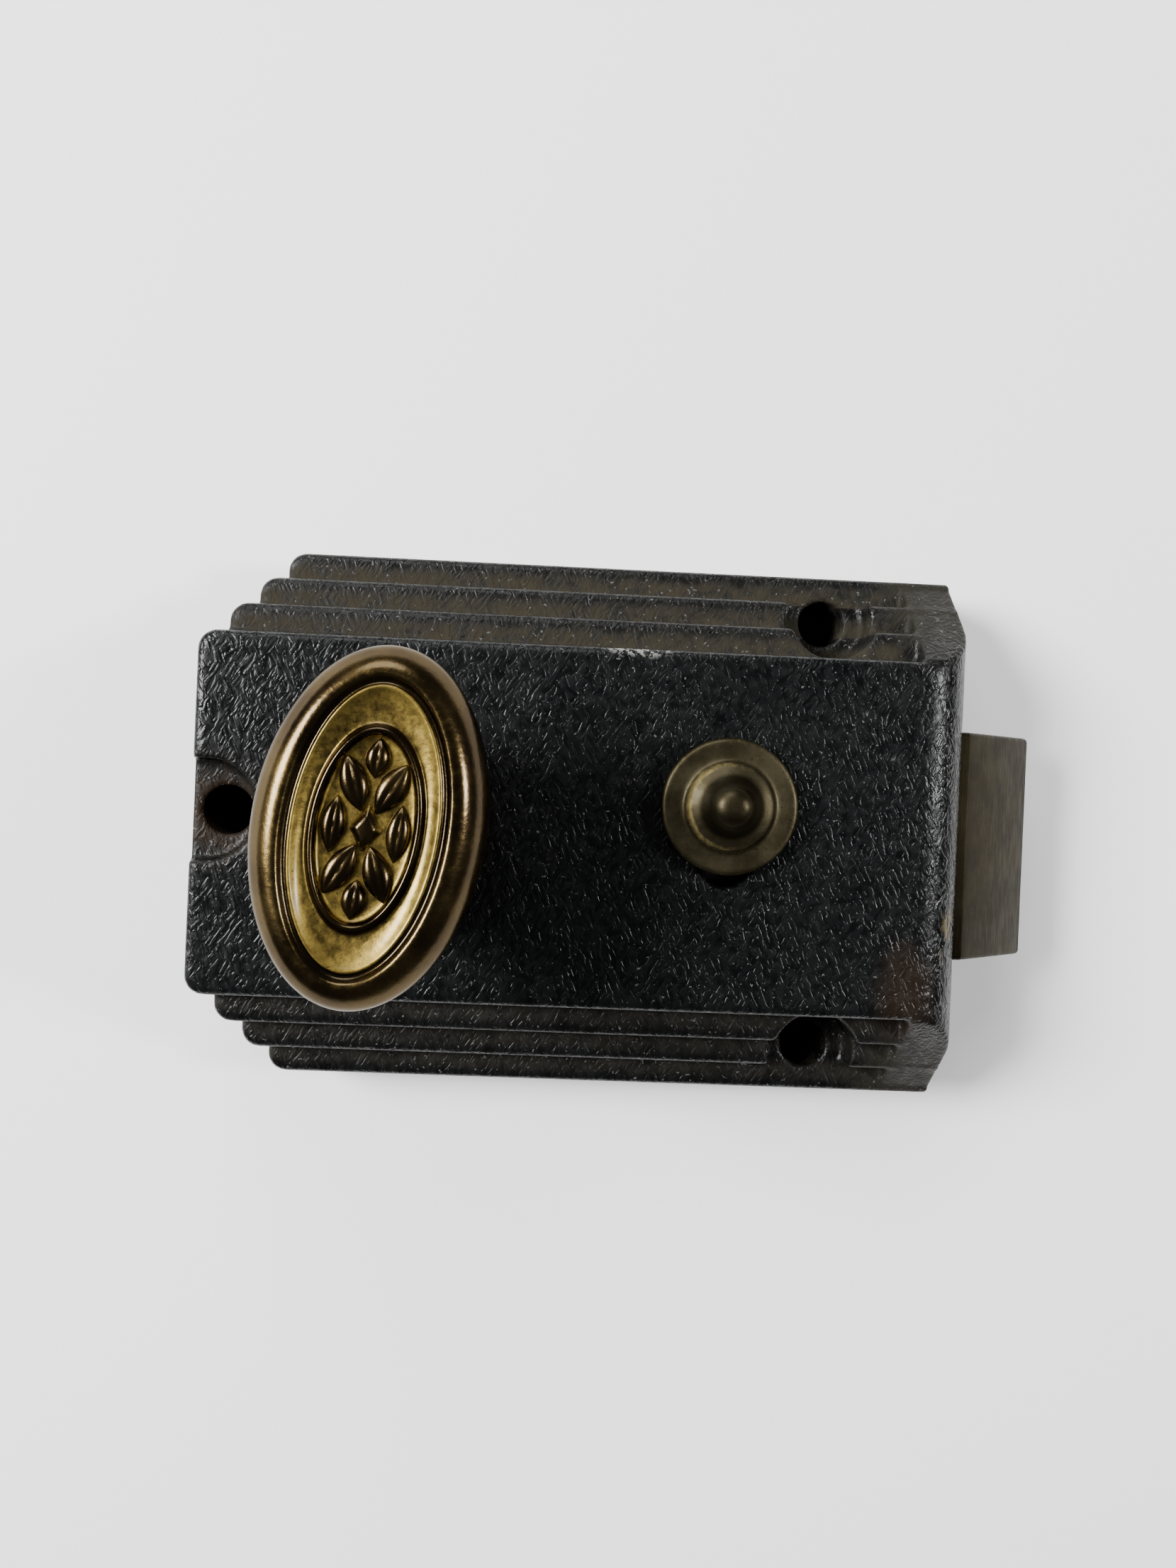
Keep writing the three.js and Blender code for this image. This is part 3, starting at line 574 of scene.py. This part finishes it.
def stop_button_cap(material):
    """A flat flange, a low cone and a small dome, with a painted highlight on the ring at the cone's
    foot, kept only on the side towards the knob, where the key light falls.
    """
    sections = [(radius * MM, radius * MM, height * MM) for radius, height, _ in BUTTON_RINGS]
    base = BUTTON_HIGH.z - sections[-1][2]
    sections = [(across, along, base + height) for across, along, height in sections]
    stem_foot = (2.8 * MM, 2.8 * MM, BUTTON_LOW.z + 1.4 * MM)
    shell = ringed([stem_foot, *sections], 64, [0.0, *(ring[2] for ring in BUTTON_RINGS)])
    worn = shell.verts.layers.float["wear_and_highlight"]
    for vert in shell.verts:
        # Painted highlight: the bright rings stay bright only on the side facing the key light,
        # towards the knob.
        painted_highlight_side = 0.5 - 0.5 * vert.co.x / max(vert.co.xy.length, MM)
        if vert[worn] > 0.25:
            vert[worn] *= painted_highlight_side
    bmesh.ops.translate(shell, vec=(BUTTON_AXIS.x, BUTTON_AXIS.y, 0), verts=shell.verts)
    piece = piece_from(shell, "stop_button_cap", 180)
    rounded(piece)
    settle(piece, 60)
    return dress(piece, "stop", material, "button_brass", "stop_button")


# ------------------------------------------------------------------ bolt and works


def refined(node, name, body, material, slot, width=0.12 * MM, segments=2):
    """A CAD node's own shape, with its sharp edges eased."""
    piece = piece_from(merged_copy(node), name)
    bevelled(piece, width, segments)
    settle(piece, 40)
    return dress(piece, body, material, slot, node)


def bolt_coil(material):
    """The bolt's coil spring, wound along its rod between the bracket and the bolt."""
    turns = 11
    wire = 0.45 * MM
    middle = (SPRING_LOW + SPRING_HIGH) / 2
    radius = (SPRING_HIGH.y - SPRING_LOW.y) / 2 - wire
    length = SPRING_HIGH.x - SPRING_LOW.x - 2 * wire
    shell = bmesh.new()
    start = Vector((SPRING_LOW.x + wire, middle.y + radius, middle.z))
    made = bmesh.ops.create_circle(
        shell, cap_ends=True, segments=8, radius=wire, matrix=Matrix.Translation(start)
    )
    steps = 24 * turns
    bmesh.ops.spin(
        shell, geom=[*made["verts"], *shell.edges, *shell.faces],
        cent=(start.x, middle.y, middle.z), axis=(1, 0, 0), dvec=(length / steps, 0, 0),
        angle=math.tau * turns, steps=steps, use_merge=False,
    )
    piece = dress(piece_from(shell, "bolt_coil", 60), "case", material, "spring_steel", "bolt_spring")
    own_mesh(piece)


def works():
    """Every steel piece behind the face, each with the grain of how it was made."""
    plate = steel_finish("cover_steel", (0.24, 0.235, 0.22), (0.34, 0.335, 0.32), 0.0, 0.55)
    turned = steel_finish("turned_steel", (0.30, 0.30, 0.29), (0.42, 0.42, 0.41), 0.6, 0.2)
    # Near-black steel for the stop slide: painted shade, so the slot under the button reads dark.
    slot_shade_black = steel_finish("blacked_steel", (0.012, 0.012, 0.013), (0.024, 0.024, 0.024), 0.6)
    sprung = steel_finish("spring_steel", (0.13, 0.14, 0.16), (0.22, 0.23, 0.25), 0.0, 0.1)
    refined("back_plate", "cover_plate", "case", plate, "steel")
    for number in range(1, 5):
        screw = f"back_plate_screw_{number}"
        refined(screw, f"cover_screw_{number}", "case", turned, "steel", 0.08 * MM)
    for node in ("spring_bracket", "bracket_screw", "guide_post", "guide_washer", "guide_screw",
                 "leaf_screw"):
        refined(node, f"{node}_steel", "case", turned, "steel", 0.08 * MM)
    refined("stop_leaf_spring", "leaf_strip", "case", sprung, "spring_steel", 0.05 * MM)
    for node in ("knob_pin", "spindle", "cam", "cam_pin"):
        refined(node, f"{node}_steel", "knob", turned, "steel", 0.1 * MM)
    refined("spindle_clip", "spindle_clip_steel", "knob", sprung, "spring_steel", 0.08 * MM)
    for node in ("bolt_tail", "tail_rivet_1", "tail_rivet_2", "spring_rod"):
        refined(node, f"{node}_steel", "bolt", turned, "steel", 0.1 * MM)
    # The stop slide painted near black: painted shade in the slot.
    refined("stop_slide", "stop_slide_steel", "stop", slot_shade_black, "steel", 0.1 * MM)
    bolt_coil(sprung)


# ------------------------------------------------------------------ camera, floor and light


def set_camera():
    """A long-sided frame looking almost straight down on the face."""
    data = bpy.data.cameras.new("camera")
    data.lens = 27.03
    data.sensor_width = 36
    data.clip_start = 0.01
    camera = bpy.data.objects.new("camera", data)
    bpy.context.scene.collection.objects.link(camera)
    eye = Vector((-4.24, 5.14, 155.44)) * MM
    turn = (
        Matrix.Rotation(math.radians(-2.477), 4, "Z")
        @ Matrix.Rotation(math.radians(1.883), 4, "Y")
        @ Matrix.Rotation(math.radians(0.073), 4, "X")
    )
    camera.matrix_world = Matrix.Translation(eye) @ turn.transposed()
    bpy.context.scene.camera = camera


def set_floor():
    """A pale floor with a painted shadow where the latch covers it, so that its screw holes look dark
    and deep.
    """
    shell = bmesh.new()
    bmesh.ops.create_grid(shell, x_segments=1, y_segments=1, size=3.0)
    floor = piece_from(shell, "floor")
    floor.location.z = -0.05 * MM
    f = Finish("pale_floor", Roughness=0.9)
    x, y, _ = f.axes()
    along, aside = f.maths("ABSOLUTE", x), f.maths("ABSOLUTE", y)
    slanted = f.maths("ADD", along, f.times(aside, 0.35))
    # Painted shadow: the floor is painted near black under the latch, seen only through its screw
    # holes.
    painted_shadow_under_latch = f.times(
        f.maths("LESS_THAN", slanted, CASE_HIGH.x - 1.1 * MM),
        f.maths("LESS_THAN", aside, CASE_HIGH.y - 2.8 * MM),
    )
    pale, dark = (0.87, 0.87, 0.87), (0.03, 0.03, 0.03)
    floor.data.materials.append(f.set(Base_Color=f.mix(painted_shadow_under_latch, pale, dark)))


def set_light():
    world = bpy.data.worlds.new("studio")
    world.use_nodes = True
    world.node_tree.nodes["Background"].inputs["Color"].default_value = (1, 1, 1, 1)
    world.node_tree.nodes["Background"].inputs["Strength"].default_value = 0.13
    bpy.context.scene.world = world
    for name, place, size, watts in (
        ("key", (-0.60, 0.16, 0.55), 0.36, 21.0),
        ("fill", (0.47, 0.05, 0.38), 0.11, 3.0),
        ("back", (-0.12, 0.52, 0.42), 0.40, 3.0),
    ):
        data = bpy.data.lights.new(name, "AREA")
        data.shape = "DISK"
        data.size = size
        data.energy = watts
        lamp = bpy.data.objects.new(name, data)
        bpy.context.scene.collection.objects.link(lamp)
        lamp.location = place
        towards = Vector((0, 0, 0.02)) - lamp.location
        lamp.rotation_euler = towards.to_track_quat("-Z", "Y").to_euler()


# ------------------------------------------------------------------ the object

knob_brass = brass_finish(
    "knob_brass", (0.036, 0.023, 0.009), (0.068, 0.046, 0.017), (0.19, 0.134, 0.031), 0.19, 0.29,
    lacquer=0.2,
)
button_brass = brass_finish(
    "button_brass", (0.033, 0.027, 0.015), (0.060, 0.052, 0.030), (0.22, 0.18, 0.075), 0.42, 0.52,
    lacquer=0.03,
)
case_casting()
knob_casting(knob_brass)
knob_ornament(knob_brass)
refined("knob_washer", "knob_washer_brass", "case", knob_brass, "knob_brass")
stop_button_cap(button_brass)
refined("stop_rivet", "stop_rivet_brass", "stop", button_brass, "button_brass")
refined("bolt", "bolt_head", "bolt", bolt_finish(), "bolt_brass", 0.25 * MM, 3)
works()
set_camera()
set_floor()
set_light()
